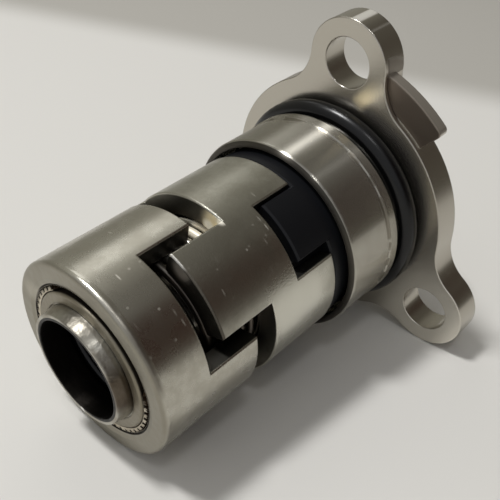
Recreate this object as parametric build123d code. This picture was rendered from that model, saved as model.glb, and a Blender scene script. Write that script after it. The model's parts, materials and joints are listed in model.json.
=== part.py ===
"""Cartridge mechanical seal for a 16 mm pump shaft.

Three assemblies share one axis. The gland is bolted to the pump and holds the stationary
seat. The carrier drives the rotating face against that seat. The shaft sleeve, with the
spring housing at its wet end and the drive collar at its dry end, turns with the shaft.
Teeth on the spring housing mesh with teeth on the carrier and turn it.

Every piece is modelled on a local Z axis that runs from the wet end to the dry end, with
height 0 at the sleeve's mouth. At the end the whole seal is laid down as it rests on a
table: on the flange's rim and one ear, and on the front rim of the spring housing.
"""

import math
import os

from build123d import *

# Shaft sleeve
shaft_d = 16.0
shaft_clearance = 0.015          # radial, between shaft and sleeve
sleeve_wall = 1.185
sleeve_lip_taper = 0.3           # radial; the mouth is drawn in a little
sleeve_lip_length = 1.5
sleeve_tail = 1.05               # behind the retaining ring's groove
sleeve_end_chamfer = 0.3
mouth_length = 2.2               # from the sleeve's mouth to its shoulder
shoulder_length = 6.8
shoulder_gap = 0.9               # radial, inside the housing's mouth
shoulder_edge_chamfer = 0.25
undercut_width = 0.25            # groove at the foot of the mouth
undercut_depth = 0.35
press_band_setback = 2.1         # behind the shoulder's front
press_band_length = 3.9
shaft_ring_section = 2.1
shaft_ring_groove_setback = 2.2  # behind the shoulder's front
shaft_ring_groove_width = 3.0
shaft_ring_gap = 0.05            # radial, between the O-ring and the shaft

# Spring and its washer
spring_wire_d = 1.4
spring_sleeve_clearance = 1.15   # radial, round the sleeve
spring_chamber_clearance = 0.45  # radial, inside the chamber
spring_turns = 9
spring_ground_share = 0.25       # of the wire, left at each ground end
spring_washer_thickness = 0.6
washer_clearance = 0.2           # radial, of every washer on the sleeve

# Spring housing
housing_front_length = 8.6       # from its front to its slot floors
housing_tooth_length = 9.2
housing_mouth_step = 0.2         # radial, inside the spring chamber
housing_dish_width = 1.1
housing_dish_depth = 0.4
housing_edge_radius = 0.75
barrel_wall = 3.55               # round the spring chamber, of housing and carrier
barrel_edge_chamfer = 0.2        # round the slots and notches of both barrels
knurl_depth = 0.3
knurl_length = 2.1
knurl_teeth = 150

# Teeth, lugs and ears, as angles about the axis in degrees
teeth = 3
housing_slot_angle = 71.5
carrier_tooth_angle = 51.5
carrier_tooth_centre = 221.7
drive_lag_angle = 1.7            # the housing's slots stand this much ahead of the teeth
notch_angle = 46.5
lug_angle = 37.0
lug_lag_angle = 2.8              # the lugs stand this much behind their notches
first_ear_angle = 180.0

# Drive carrier
carrier_tooth_gap = 3.4          # from the housing's slot floors to the carrier's teeth
housing_tooth_gap = 4.0          # from the housing's teeth to the carrier's slot floors
carrier_belt_length = 5.8        # between the carrier's slot floors and notch floors
carrier_notch_depth = 7.9
carrier_web_thickness = 2.2
carrier_web_clearance = 0.4      # radial, round the sleeve
carrier_rear_wall = 2.75

# Stationary seat
seat_shaft_clearance = 0.7       # radial, round the sleeve
seat_hub_wall = 1.6
seat_ring_section = 2.0
seat_clearance = 0.2             # radial, of the seat's head in the gland
seat_back_gap = 0.2
seat_head_length = 6.0
seat_hub_length = 5.5
seat_pin_d = 1.4
seat_pin_length = 4.2
seat_pin_depth = 2.0             # how far it is pressed into the gland
seat_pins = 2
seat_slot_clearance = 0.15       # beside and above each pin

# Rotating face
support_washer_thickness = 1.4
face_hub_clearance = 0.2         # radial, in the carrier's rear bore
face_collar_gap = 0.25           # between the carrier's rear edge and the face's collar
face_collar_step = 0.35          # radial, of the face's collar inside the barrel's outside
face_collar_length = 6.0
face_nose_length = 2.0
face_nose_step = 0.5             # radial, inside the seat's head
face_nose_bore_step = 0.4        # radial, outside the seat's bore
face_film = 0.05                 # the gap between the two running faces
face_bore_clearance = 0.3        # radial, round the sleeve
face_edge_chamfer = 0.3
face_ring_section = 2.6
lug_clearance = 0.1              # radial, under the barrel's outside

# Gland: spigot and flange
spigot_setback = 2.6             # behind the carrier's rear edge
spigot_clearance = 0.45          # radial, round the barrel
spigot_wall = 1.1
spigot_edge_radius = 0.8
spigot_bore_depth = 6.9
pilot_setback = 9.5              # behind the spigot's front
pilot_length = 1.95
pilot_step = 0.2                 # radial, above the spigot
pilot_chamfer = 0.2
flange_ring_section = 3.55
flange_ring_groove_depth = 2.2   # below the pilot
flange_ring_groove_width = 4.9
flange_thickness = 4.9
flange_rim_land = 3.35           # radial, outside the O-ring
flange_edge_chamfer = 0.12
ears = 3
ear_reach = 3.8                  # of the ears' centres outside the rim
ear_wall = 3.1                   # round the ear's hole
ear_fillet = 8.0
ear_hole_d = 8.4
ear_hole_chamfer = 0.1
tab_reach = 5.0                  # outside the rim
tab_thickness = 2.0
tab_start_angle = 190.0
tab_end_angle = 222.0
tab_corner_radius = 1.0
gland_bore_clearance = 0.9       # radial, round the sleeve

# Drive collar, its screws, its washer and its ring
glide_washer_lap = 1.9           # radial, outside the gland's bore
glide_washer_thickness = 2.0
glide_recess_depth = 1.0
glide_recess_clearance = 0.1     # radial
collar_gap = 0.05                # between the glide washer and the collar
collar_wall = 2.8
collar_length = 9.0
collar_clearance = 0.02          # radial, on the sleeve
collar_chamfer = 0.6
screw_d = 5.0
screw_length = 3.8
screw_hole_clearance = 0.02      # radial
screw_socket = 2.5
screw_socket_depth = 1.8
screws = 3
retaining_ring_height = 1.4      # above the sleeve
retaining_ring_thickness = 1.0
retaining_ring_gap_angle = 50.0
retaining_groove_depth = 0.45
retaining_groove_clearance = 0.05

# Radii, from the shaft outwards
sleeve_bore_r = shaft_d / 2 + shaft_clearance
sleeve_r = sleeve_bore_r + sleeve_wall
washer_bore_r = sleeve_r + washer_clearance
spring_mean_r = sleeve_r + spring_sleeve_clearance + spring_wire_d / 2
chamber_r = spring_mean_r + spring_wire_d / 2 + spring_chamber_clearance
mouth_r = chamber_r - housing_mouth_step
shoulder_r = mouth_r - shoulder_gap
barrel_r = chamber_r + barrel_wall
carrier_rear_r = barrel_r - carrier_rear_wall
face_hub_r = carrier_rear_r - face_hub_clearance
face_ring_pocket_r = sleeve_r + face_ring_section + washer_clearance / 2
face_collar_r = barrel_r - face_collar_step
seat_shaft_r = sleeve_r + seat_shaft_clearance
seat_hub_r = seat_shaft_r + seat_hub_wall
seat_bore_r = seat_hub_r + seat_ring_section
seat_pin_circle_r = (seat_shaft_r + seat_hub_r) / 2
spigot_bore_r = barrel_r + spigot_clearance
spigot_r = spigot_bore_r + spigot_wall
pilot_r = spigot_r + pilot_step
flange_ring_groove_r = pilot_r - flange_ring_groove_depth
flange_ring_r = flange_ring_groove_r + flange_ring_section / 2
flange_rim_r = flange_ring_groove_r + flange_ring_section + flange_rim_land
ear_circle_r = flange_rim_r + ear_reach
ear_r = ear_hole_d / 2 + ear_wall
tab_r = flange_rim_r + tab_reach
gland_bore_r = sleeve_r + gland_bore_clearance
glide_washer_r = gland_bore_r + glide_washer_lap
collar_r = sleeve_r + collar_wall

# Heights, from the sleeve's mouth to its far end
tooth_step = 360 / teeth
shoulder_front = mouth_length
shoulder_rear = shoulder_front + shoulder_length
spring_front = shoulder_rear + spring_washer_thickness
housing_front = shoulder_front
housing_slot_floor = housing_front + housing_front_length
housing_tip = housing_slot_floor + housing_tooth_length
carrier_tip = housing_slot_floor + carrier_tooth_gap
carrier_slot_floor = housing_tip + housing_tooth_gap
carrier_notch_floor = carrier_slot_floor + carrier_belt_length
carrier_rear = carrier_notch_floor + carrier_notch_depth
web_front = carrier_notch_floor - carrier_web_thickness
spring_length = web_front - spring_front
face_front = carrier_notch_floor + support_washer_thickness
face_collar_front = carrier_rear + face_collar_gap
face_collar_rear = face_collar_front + face_collar_length
face_nose = face_collar_rear + face_nose_length
seat_front = face_nose + face_film
seat_head_rear = seat_front + seat_head_length
seat_rear = seat_head_rear + seat_hub_length
seat_bore_rear = seat_rear + seat_back_gap
spigot_front = carrier_rear + spigot_setback
pilot_front = spigot_front + pilot_setback
pilot_rear = pilot_front + pilot_length
flange_front = pilot_rear + flange_ring_groove_width
flange_rear = flange_front + flange_thickness
glide_front = flange_rear - glide_recess_depth
glide_rear = glide_front + glide_washer_thickness
collar_front = glide_rear + collar_gap
collar_rear = collar_front + collar_length
collar_middle = (collar_front + collar_rear) / 2
ring_groove_rear = collar_rear + retaining_ring_thickness + 2 * retaining_groove_clearance
sleeve_length = ring_groove_rear + sleeve_tail


def turned(outline, arc=360.0):
    """A solid of revolution from a closed outline of (radius, height) points."""
    edge = Polyline(*[(radius, 0, height) for radius, height in outline], close=True)
    return revolve(make_face(edge), axis=Axis.Z, revolution_arc=arc)


def ring(bore_r, outer_r, front, rear):
    """A plain turned ring between two heights."""
    return turned([(bore_r, front), (outer_r, front), (outer_r, rear), (bore_r, rear)])


def o_ring(mean_r, section, height):
    """A round-section ring lying across the axis."""
    return Pos(0, 0, height) * Torus(mean_r, section / 2)


def wedge(reach, front, rear, centre, width):
    """A wedge from the axis outwards, centred on one angle, to cut slots and notches."""
    half = math.radians(width / 2)
    far = reach / math.cos(half) + 1
    corner = (far * math.cos(half), far * math.sin(half))
    slice_face = make_face(Polyline((0, 0), corner, (corner[0], -corner[1]), close=True))
    return Pos(0, 0, front) * Rot(0, 0, centre) * extrude(slice_face, rear - front)


def wedges(reach, front, rear, centre, width):
    """The same wedge once for every tooth."""
    return [
        wedge(reach, front, rear, centre + index * tooth_step, width)
        for index in range(teeth)
    ]


def shaft_sleeve():
    """Thin turned sleeve with a shoulder, a press band and an inner O-ring groove."""
    lip_r = sleeve_r - sleeve_lip_taper
    end_r = sleeve_r - sleeve_end_chamfer
    edge = shoulder_edge_chamfer
    band_front = shoulder_front + press_band_setback
    band_rear = band_front + press_band_length
    sleeve = turned([
        (sleeve_bore_r, 0),
        (lip_r, 0),
        (sleeve_r, sleeve_lip_length),
        (sleeve_r, shoulder_front + undercut_depth),
        (sleeve_r + undercut_width, shoulder_front + undercut_depth),
        (sleeve_r + undercut_width, shoulder_front),
        (shoulder_r - edge, shoulder_front),
        (shoulder_r, shoulder_front + edge),
        (shoulder_r, band_front),
        (mouth_r, band_front),
        (mouth_r, band_rear),
        (shoulder_r, band_rear),
        (shoulder_r, shoulder_rear),
        (sleeve_r, shoulder_rear),
        (sleeve_r, sleeve_length - sleeve_end_chamfer),
        (end_r, sleeve_length),
        (sleeve_bore_r, sleeve_length),
    ])
    groove_front = shoulder_front + shaft_ring_groove_setback
    groove_rear = groove_front + shaft_ring_groove_width
    groove_r = shaft_ring_mean_r() + shaft_ring_section / 2
    sleeve -= ring(sleeve_bore_r - 1, groove_r, groove_front, groove_rear)
    sleeve -= ring(sleeve_r - retaining_groove_depth, sleeve_r + 1, collar_rear, ring_groove_rear)
    for place in screw_places():
        sleeve -= place * Cylinder(screw_d / 2 + screw_hole_clearance, shaft_d)
    return sleeve


def shaft_ring_mean_r():
    """The shaft O-ring's middle radius, clear of the shaft by its gap."""
    return shaft_d / 2 + shaft_ring_gap + shaft_ring_section / 2


def shaft_o_ring():
    """The O-ring that seals the sleeve on the shaft."""
    groove_middle = shaft_ring_groove_setback + shaft_ring_groove_width / 2
    middle = shoulder_front + groove_middle
    return o_ring(shaft_ring_mean_r(), shaft_ring_section, middle)


def outside_edges(barrel):
    """Edges where a barrel's outside meets its ends, slots and notches."""
    faces = barrel.faces()
    outside = max(faces.filter_by(GeomType.CYLINDER), key=lambda face: face.area)
    others = [edge for face in faces if face != outside for edge in face.edges()]
    return ShapeList(edge for edge in outside.edges() if edge in others)


def mouth_knurl():
    """A cutter for the fine straight knurl just inside the spring housing's mouth."""
    points = []
    for index in range(2 * knurl_teeth):
        angle = math.pi * index / knurl_teeth
        radius = mouth_r - knurl_depth / 10
        if index % 2:
            radius = mouth_r + knurl_depth
        points.append((radius * math.cos(angle), radius * math.sin(angle)))
    outline = make_face(Polyline(*points, close=True))
    return Pos(0, 0, housing_front) * extrude(outline, knurl_length)


def spring_housing():
    """Thick tube with three teeth at its rear edge and a dished, rounded front."""
    dish_r = mouth_r + housing_dish_width
    housing = turned([
        (mouth_r, housing_front + housing_dish_depth),
        (dish_r, housing_front),
        (barrel_r, housing_front),
        (barrel_r, housing_tip),
        (chamber_r, housing_tip),
        (chamber_r, shoulder_rear),
        (mouth_r, shoulder_rear),
    ])
    centre = carrier_tooth_centre + drive_lag_angle
    for cutter in wedges(barrel_r, housing_slot_floor, housing_tip + 1, centre, housing_slot_angle):
        housing -= cutter
    edges = outside_edges(housing).sort_by(Axis.Z)
    housing = chamfer(edges[1:], barrel_edge_chamfer)
    rim = outside_edges(housing).sort_by(Axis.Z)[0]
    return fillet(rim, housing_edge_radius) - mouth_knurl()


def drive_carrier():
    """Tube that meshes with the housing's teeth and carries the rotating face's lugs."""
    web_r = sleeve_r + carrier_web_clearance
    carrier = turned([
        (chamber_r, carrier_tip),
        (barrel_r, carrier_tip),
        (barrel_r, carrier_rear),
        (carrier_rear_r, carrier_rear),
        (carrier_rear_r, carrier_notch_floor),
        (web_r, carrier_notch_floor),
        (web_r, web_front),
        (chamber_r, web_front),
    ])
    gap_centre = carrier_tooth_centre + tooth_step / 2
    gap_angle = tooth_step - carrier_tooth_angle
    for cutter in wedges(barrel_r, carrier_tip - 1, carrier_slot_floor, gap_centre, gap_angle):
        carrier -= cutter
    notch_rear = carrier_rear + 1
    for cutter in wedges(barrel_r, carrier_notch_floor, notch_rear, carrier_tooth_centre, notch_angle):
        carrier -= cutter
    return chamfer(outside_edges(carrier), barrel_edge_chamfer)


def coil_spring():
    """Round-wire compression spring with ground ends."""
    spare = spring_wire_d * spring_ground_share
    height = spring_length - 2 * spare
    coil = Helix(height / spring_turns, height, spring_mean_r)
    section = Plane(origin=coil @ 0, z_dir=coil % 0) * Circle(spring_wire_d / 2)
    spring = Pos(0, 0, spring_front + spare) * sweep(section, path=coil, is_frenet=True)
    outer_r = spring_mean_r + spring_wire_d
    return spring & ring(sleeve_r, outer_r, spring_front, spring_front + spring_length)


def spring_washer():
    """Flat washer between the sleeve's shoulder and the spring."""
    outer_r = spring_mean_r + spring_wire_d / 2
    return ring(washer_bore_r, outer_r, shoulder_rear, spring_front)


def support_washer():
    """Flat washer between the carrier's web and the rotating face."""
    return ring(washer_bore_r, face_hub_r, carrier_notch_floor, face_front)


def face_o_ring():
    """The O-ring that seals the rotating face on the sleeve."""
    mean_r = sleeve_r + washer_clearance / 4 + face_ring_section / 2
    return o_ring(mean_r, face_ring_section, face_front + face_ring_section / 2)


def face_lug():
    """One drive lug with bevelled edges, standing in front of the face's collar."""
    outer_r = barrel_r - lug_clearance
    root_r = (face_ring_pocket_r + face_hub_r) / 2
    rear = face_collar_front + face_edge_chamfer
    outline = [
        (root_r, face_front),
        (outer_r, face_front),
        (outer_r, rear),
        (root_r, rear),
    ]
    lug = turned(outline, lug_angle)
    lug = Rot(0, 0, carrier_tooth_centre - lug_lag_angle - lug_angle / 2) * lug
    rear_edges = lug.edges().group_by(Axis.Z)[-1]
    skin = [face for face in lug.faces() if face.geom_type == GeomType.CYLINDER]
    outside = max(skin, key=lambda face: face.area)
    bevelled = [edge for edge in outside.edges() if edge not in rear_edges]
    return chamfer(bevelled, face_edge_chamfer)


def rotating_face():
    """Black face ring: collar, narrow running face, hub with its O-ring pocket, three lugs."""
    bore_r = sleeve_r + face_bore_clearance
    pocket_rear = face_front + face_ring_section + washer_clearance
    nose_r = seat_bore_r - seat_clearance - face_nose_step
    nose_bore_r = seat_shaft_r + face_nose_bore_step
    edge = face_edge_chamfer
    face = turned([
        (face_ring_pocket_r, face_front),
        (face_hub_r, face_front),
        (face_hub_r, face_collar_front),
        (face_collar_r - edge, face_collar_front),
        (face_collar_r, face_collar_front + edge),
        (face_collar_r, face_collar_rear - edge),
        (face_collar_r - edge, face_collar_rear),
        (nose_r, face_collar_rear),
        (nose_r, face_nose),
        (nose_bore_r, face_nose),
        (nose_bore_r, face_collar_rear),
        (bore_r, face_collar_rear),
        (bore_r, pocket_rear),
        (face_ring_pocket_r, pocket_rear),
    ])
    lug = face_lug()
    for index in range(teeth):
        face += Rot(0, 0, index * tooth_step) * lug
    return face


def stationary_seat():
    """The seat ring that stands still in the gland, with slots for its pins."""
    head_r = seat_bore_r - seat_clearance
    seat = turned([
        (seat_shaft_r, seat_front),
        (head_r, seat_front),
        (head_r, seat_head_rear),
        (seat_hub_r, seat_head_rear),
        (seat_hub_r, seat_rear),
        (seat_shaft_r, seat_rear),
    ])
    depth = seat_pin_length - seat_pin_depth - seat_back_gap + seat_slot_clearance
    width = seat_pin_d + 2 * seat_slot_clearance
    slot = Pos(seat_pin_circle_r, 0, seat_rear - depth / 2) * Box(seat_pin_d * 3, width, depth)
    for index in range(seat_pins):
        seat -= Rot(0, 0, index * 360 / seat_pins) * slot
    return seat


def seat_o_ring():
    """The O-ring between the seat and the gland."""
    mean_r = (seat_hub_r + seat_bore_r) / 2
    return o_ring(mean_r, seat_ring_section, seat_head_rear + seat_ring_section / 2)


def seat_pin(index):
    """One dowel pin that stops the seat from turning."""
    middle = seat_bore_rear + seat_pin_depth - seat_pin_length / 2
    pin = chamfer(Cylinder(seat_pin_d / 2, seat_pin_length).edges(), seat_pin_d / 8)
    return Rot(0, 0, index * 360 / seat_pins) * Pos(seat_pin_circle_r, 0, middle) * pin


def ear_places():
    """Centres of the flange's ears."""
    return PolarLocations(ear_circle_r, ears, start_angle=first_ear_angle)


def flange_outline():
    """The rim with its ears, blended by large fillets."""
    outline = Circle(flange_rim_r) + ear_places() * Circle(ear_r)
    return fillet(outline.vertices(), ear_fillet)


def tab_outline():
    """The flange's outline with the stepped tab beside the first ear."""
    width = tab_end_angle - tab_start_angle
    sector = wedge(tab_r, 0, 1, (tab_start_angle + tab_end_angle) / 2, width)
    slice_face = Sketch() + (sector & Cylinder(tab_r, 4)).faces().sort_by(Axis.Z)[0]
    outline = flange_outline() + slice_face
    angle = math.radians(tab_end_angle)
    corners = [
        (tab_r * math.cos(angle), tab_r * math.sin(angle), 0),
        (flange_rim_r * math.cos(angle), flange_rim_r * math.sin(angle), 0),
    ]
    for corner in corners:
        nearest = outline.vertices().sort_by_distance(corner)[0]
        outline = fillet(nearest, tab_corner_radius)
    return outline


def ear_hole():
    """A cutter for one bolt hole, chamfered at both faces."""
    hole_r = ear_hole_d / 2
    wide_r = hole_r + ear_hole_chamfer
    return turned([
        (0, flange_front),
        (wide_r, flange_front),
        (hole_r, flange_front + ear_hole_chamfer),
        (hole_r, flange_rear - ear_hole_chamfer),
        (wide_r, flange_rear),
        (0, flange_rear),
    ])


def gland_flange():
    """Spigot and three-eared flange, turned and milled from one piece."""
    plate = extrude(flange_outline(), flange_thickness)
    front_edges = plate.faces().sort_by(Axis.Z)[0].outer_wire().edges()
    plate = Pos(0, 0, flange_front) * chamfer(front_edges, flange_edge_chamfer)
    tab_front = flange_rear - tab_thickness
    tab = extrude(tab_outline(), tab_thickness)
    tab_edges = tab.faces().sort_by(Axis.Z)[0].outer_wire().edges()
    plate += Pos(0, 0, tab_front) * chamfer(tab_edges, flange_edge_chamfer)
    spigot = turned([
        (0, spigot_front),
        (spigot_r, spigot_front),
        (spigot_r, pilot_front),
        (pilot_r, pilot_front + pilot_chamfer),
        (pilot_r, pilot_rear),
        (flange_ring_groove_r, pilot_rear),
        (flange_ring_groove_r, flange_front + 1),
        (0, flange_front + 1),
    ])
    rim = spigot.edges().filter_by(GeomType.CIRCLE).group_by(Axis.Z)[0]
    gland = plate + fillet(rim, spigot_edge_radius)
    glide_r = glide_washer_r + glide_recess_clearance
    gland -= turned([
        (0, spigot_front - 1),
        (spigot_bore_r, spigot_front - 1),
        (spigot_bore_r, spigot_front + spigot_bore_depth),
        (seat_bore_r, spigot_front + spigot_bore_depth),
        (seat_bore_r, seat_bore_rear),
        (gland_bore_r, seat_bore_rear),
        (gland_bore_r, glide_front),
        (glide_r, glide_front),
        (glide_r, flange_rear + 1),
        (0, flange_rear + 1),
    ])
    hole = ear_hole()
    for place in ear_places():
        gland -= place * hole
    pin_hole = Cylinder(seat_pin_d / 2, 2 * seat_pin_depth)
    pin_hole = Pos(seat_pin_circle_r, 0, seat_bore_rear) * pin_hole
    for index in range(seat_pins):
        gland -= Rot(0, 0, index * 360 / seat_pins) * pin_hole
    return gland


def flange_o_ring():
    """The O-ring on the spigot, lying against the flange."""
    return o_ring(flange_ring_r, flange_ring_section, flange_front - flange_ring_section / 2)


def glide_washer():
    """Low-friction washer in the gland's rear recess."""
    return ring(washer_bore_r, glide_washer_r, glide_front, glide_rear)


def screw_places():
    """Where the set screws' axes leave the shaft, each turned outwards."""
    first = Pos(0, 0, collar_middle) * Rot(0, 90, 0) * Pos(0, 0, shaft_d / 2)
    return [Rot(0, 0, index * 360 / screws) * first for index in range(screws)]


def drive_collar():
    """Collar that clamps the sleeve to the shaft through three tapped holes."""
    edge = collar_chamfer
    bore_r = sleeve_r + collar_clearance
    collar = turned([
        (bore_r, collar_front),
        (collar_r - edge, collar_front),
        (collar_r, collar_front + edge),
        (collar_r, collar_rear - edge),
        (collar_r - edge, collar_rear),
        (bore_r, collar_rear),
    ])
    for place in screw_places():
        collar -= place * Cylinder(screw_d / 2 + screw_hole_clearance, shaft_d)
    return collar


def set_screw(index):
    """One socket set screw, its tip just clear of the shaft."""
    screw = Pos(0, 0, screw_length / 2) * Cylinder(screw_d / 2, screw_length)
    screw = chamfer(screw.edges().filter_by(GeomType.CIRCLE), screw_d / 16)
    socket = extrude(RegularPolygon(screw_socket / 2, 6, major_radius=False), screw_socket_depth)
    screw -= Pos(0, 0, screw_length - screw_socket_depth) * socket
    return screw_places()[index] * Pos(0, 0, shaft_clearance) * screw


def retaining_ring():
    """Split ring in the sleeve's rear groove, behind the collar."""
    front = collar_rear + retaining_groove_clearance
    rear = front + retaining_ring_thickness
    bore_r = sleeve_r - retaining_groove_depth + retaining_groove_clearance
    outer_r = sleeve_r + retaining_ring_height
    whole = ring(bore_r, outer_r, front, rear)
    return whole - wedge(outer_r, front - 1, rear + 1, 0, retaining_ring_gap_angle)


def resting_drop():
    """How far the flange reaches below the axis: to its rim, or to two ears if they reach lower."""
    ear_drop = ear_circle_r * math.cos(math.pi / ears) + ear_r
    return max(flange_rim_r, ear_drop)


def resting_roll():
    """Turn about the axis that brings one ear down to the table beside the rim."""
    lean = math.degrees(math.acos((resting_drop() - ear_r) / (ear_circle_r)))
    return 180 / ears - lean


def resting_tilt():
    """Angle of the axis to the table when the flange and the housing's front rim touch it."""
    edge = housing_edge_radius
    rise = resting_drop() - (barrel_r - edge)
    run = flange_front + flange_edge_chamfer - (housing_front + edge)
    return math.degrees(math.acos(edge / math.hypot(rise, run)) - math.atan2(run, rise))


def resting_height(tilt):
    """Height of the sleeve's mouth centre above the table."""
    angle = math.radians(tilt)
    edge = housing_edge_radius
    return (barrel_r - edge) * math.cos(angle) + edge - (housing_front + edge) * math.sin(angle)


def build():
    """Every piece on the seal axis, by node name."""
    pieces = {
        "gland_flange": gland_flange(),
        "flange_o_ring": flange_o_ring(),
        "stationary_seat": stationary_seat(),
        "seat_o_ring": seat_o_ring(),
        "glide_washer": glide_washer(),
        "drive_carrier": drive_carrier(),
        "rotating_face": rotating_face(),
        "face_o_ring": face_o_ring(),
        "support_washer": support_washer(),
        "shaft_sleeve": shaft_sleeve(),
        "shaft_o_ring": shaft_o_ring(),
        "spring_housing": spring_housing(),
        "spring_washer": spring_washer(),
        "coil_spring": coil_spring(),
        "drive_collar": drive_collar(),
        "retaining_ring": retaining_ring(),
    }
    for index in range(seat_pins):
        pieces[f"seat_pin_{index + 1}"] = seat_pin(index)
    for index in range(screws):
        pieces[f"set_screw_{index + 1}"] = set_screw(index)
    return pieces


def lay_down(pieces):
    """Lay the seal on its resting points, centred over the origin."""
    tilt = resting_tilt()
    laid = Location((0, 0, resting_height(tilt)), (0, 90 - tilt, 0)) * Rot(0, 0, resting_roll())
    placed = {name: laid * piece for name, piece in pieces.items()}
    box = Compound(children=[Compound(piece.solids()) for piece in placed.values()]).bounding_box()
    centred = Pos(-box.center().X, -box.center().Y, 0)
    return {name: centred * piece for name, piece in placed.items()}


os.makedirs("parts", exist_ok=True)
for node, solid in lay_down(build()).items():
    export_step(solid, f"parts/{node}.step")
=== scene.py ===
"""Looks of a cartridge mechanical seal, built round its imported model, in metres."""

import json
import math

import bpy
from mathutils import Matrix, Vector


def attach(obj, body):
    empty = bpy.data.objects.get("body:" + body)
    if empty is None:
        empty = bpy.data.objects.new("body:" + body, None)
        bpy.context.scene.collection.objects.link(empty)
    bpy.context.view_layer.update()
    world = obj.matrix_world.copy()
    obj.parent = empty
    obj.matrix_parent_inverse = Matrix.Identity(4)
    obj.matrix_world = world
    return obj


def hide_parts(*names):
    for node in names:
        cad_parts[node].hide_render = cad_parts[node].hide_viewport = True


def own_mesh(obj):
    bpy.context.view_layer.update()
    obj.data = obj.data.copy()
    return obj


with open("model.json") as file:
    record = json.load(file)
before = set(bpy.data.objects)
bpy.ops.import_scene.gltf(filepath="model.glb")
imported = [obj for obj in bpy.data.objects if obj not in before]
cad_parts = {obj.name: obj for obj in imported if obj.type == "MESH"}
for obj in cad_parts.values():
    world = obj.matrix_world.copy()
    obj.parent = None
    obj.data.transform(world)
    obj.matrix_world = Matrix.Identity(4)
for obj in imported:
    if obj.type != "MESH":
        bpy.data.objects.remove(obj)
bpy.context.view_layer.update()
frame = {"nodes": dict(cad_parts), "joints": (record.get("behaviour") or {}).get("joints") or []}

MM = 0.001

# The seal's axis. The record's spin joint lies on it, 40 mm behind the sleeve's mouth,
# and patterns that follow the lathe are set out from that mouth and along that axis.
spin = next(joint for joint in frame["joints"] if joint["name"] == "rotor_spin")
axis = Vector(spin["axis"]).normalized()
mouth = Vector(spin["pos_m"]) - 40 * MM * axis
EAR_TURN = math.radians(4.97)          # the first ear's turn from straight up
down = (axis.z * axis - Vector((0, 0, 1))).normalized()
seal_x = Matrix.Rotation(EAR_TURN, 3, axis) @ down
seal_turn = Matrix((seal_x, axis.cross(seal_x), axis))


def on_seal(radius, angle, height):
    """A point of the seal from its radius, angle in degrees and height in mm."""
    turn = math.radians(angle)
    local = Vector((radius * math.cos(turn), radius * math.sin(turn), height)) * MM
    return mouth + seal_turn.transposed() @ local


# The table. It is pale and smooth under the seal, and past a soft-edged line on its far side it
# is a plain grey. The seal rests on it at height 0.
TABLE_HALF = 3.0
SHEET_COLOUR = "#DCDAD5"
FAR_GREY_COLOUR = "#B2AFA8"
GREY_LINE_TURN = math.radians(18.2)    # direction across the line where the grey begins
GREY_LINE_PLACE = 0.150                # how far that line is from the origin
GREY_LINE_SOFT = 0.030


def linear(colour):
    """Linear RGBA from an sRGB hex colour."""
    parts = [int(colour[i:i + 2], 16) / 255 for i in (1, 3, 5)]
    return [c / 12.92 if c <= 0.04045 else ((c + 0.055) / 1.055) ** 2.4 for c in parts] + [1.0]


def add_node(tree, kind, settings=None, links=None):
    """Add a node with its settings, and feed its inputs from sockets or numbers."""
    node = tree.nodes.new(kind)
    for name, value in (settings or {}).items():
        if isinstance(name, int) or name in node.inputs:
            node.inputs[name].default_value = value
        else:
            setattr(node, name, value)
    for name, source in (links or {}).items():
        if isinstance(source, bpy.types.NodeSocket):
            tree.links.new(source, node.inputs[name])
        else:
            node.inputs[name].default_value = source
    return node


def new_finish(name, settings):
    """An empty material with its shader's settings: the material, its tree and the shader."""
    material = bpy.data.materials.new(name)
    material.use_nodes = True
    tree = material.node_tree
    shader = tree.nodes["Principled BSDF"]
    for socket, value in settings.items():
        shader.inputs[socket].default_value = value
    return material, tree, shader


table_mesh = bpy.data.meshes.new("table")
table_mesh.from_pydata(
    [(x * TABLE_HALF, y * TABLE_HALF, 0) for x, y in ((-1, -1), (1, -1), (1, 1), (-1, 1))],
    [], [(0, 1, 2, 3)])
table = bpy.data.objects.new("table", table_mesh)
bpy.context.scene.collection.objects.link(table)
table_finish, tree, shader = new_finish(
    "smooth_pale_table_grey_far_side", {"Roughness": 0.55, "Specular IOR Level": 0.3})
place = add_node(tree, "ShaderNodeTexCoord").outputs["Object"]
across = (math.cos(GREY_LINE_TURN), math.sin(GREY_LINE_TURN), 0)
distance = add_node(tree, "ShaderNodeVectorMath", {
    "operation": "DOT_PRODUCT", 1: across}, {0: place})
edge = add_node(tree, "ShaderNodeMapRange", {
    "interpolation_type": "SMOOTHSTEP",
    "From Min": GREY_LINE_PLACE - GREY_LINE_SOFT / 2,
    "From Max": GREY_LINE_PLACE + GREY_LINE_SOFT / 2,
}, {"Value": distance.outputs["Value"]})
mix = add_node(tree, "ShaderNodeMix", {
    "data_type": "RGBA", 6: linear(SHEET_COLOUR), 7: linear(FAR_GREY_COLOUR),
}, {0: edge.outputs["Result"]})
tree.links.new(mix.outputs[2], shader.inputs["Base Color"])
table_mesh.materials.append(table_finish)

# The camera stands in front of the sleeve's mouth, above and to its left, with its right
# side tipped up a little.
CAMERA_PLACE = (-0.07894, -0.06840, 0.08470)
CAMERA_HEADING = math.radians(41.04)
CAMERA_PITCH = math.radians(-32.39)
CAMERA_ROLL = math.radians(3.14)
CAMERA_LENS = 53.27
camera = bpy.data.objects.new("camera", bpy.data.cameras.new("camera"))
camera.data.lens = CAMERA_LENS
camera.data.sensor_width = 36
camera.data.clip_start = 0.01
camera.matrix_world = (
    Matrix.Translation(CAMERA_PLACE)
    @ Matrix.Rotation(CAMERA_HEADING - math.pi / 2, 4, "Z")
    @ Matrix.Rotation(CAMERA_PITCH + math.pi / 2, 4, "X")
    @ Matrix.Rotation(CAMERA_ROLL, 4, "Z"))
bpy.context.scene.collection.objects.link(camera)
bpy.context.scene.camera = camera
bpy.context.scene.view_settings.view_transform = "Standard"

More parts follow.
